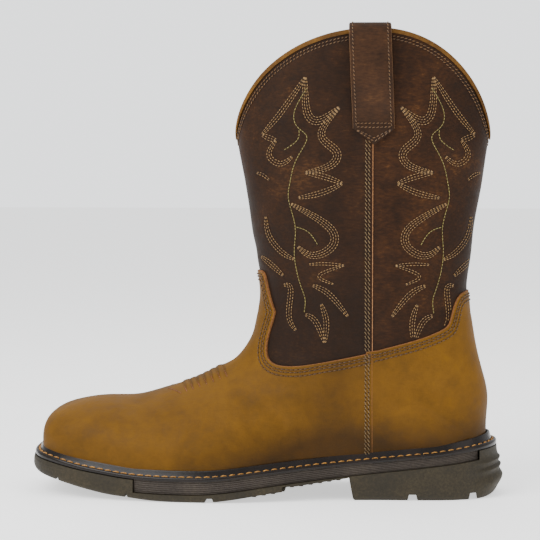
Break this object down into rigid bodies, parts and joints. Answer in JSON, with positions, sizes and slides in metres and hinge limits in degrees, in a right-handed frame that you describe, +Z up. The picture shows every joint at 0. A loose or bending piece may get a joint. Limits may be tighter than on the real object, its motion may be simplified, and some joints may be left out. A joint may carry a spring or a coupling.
{
  "type": "western work boot",
  "caption": "Left pull-on western work boot: dark shaft with a scalloped collar and pull straps, tan foot with bug and wrinkle, storm welt and lugged rubber sole.",
  "frame": {"origin": "middle of the heel's flat on the ground, in the sole's middle plane", "axes": "toe points along -X, outer (lateral) side faces -Y, +Z up from the ground to the collar"},
  "size_m": [0.3144, 0.1144, 0.3096],
  "materials": {
    "shaft_leather": "oiled, pull-up",
    "foot_leather": "oiled, pull-up",
    "binding_leather": "matte",
    "strap_leather": "oiled",
    "welt_rubber": "satin",
    "midsole_rubber": "matte",
    "outsole_rubber": "matte, pebbled",
    "footbed": "matte"
  },
  "bodies": {
    "root": {"upper": "shaft_leather", "vamp": "foot_leather", "counter": "foot_leather", "collar_binding": "binding_leather", "pull_strap_lateral": "strap_leather", "pull_strap_medial": "strap_leather", "welt": "welt_rubber", "midsole": "midsole_rubber", "outsole": "outsole_rubber", "insole": "footbed"}
  },
  "joints": []
}
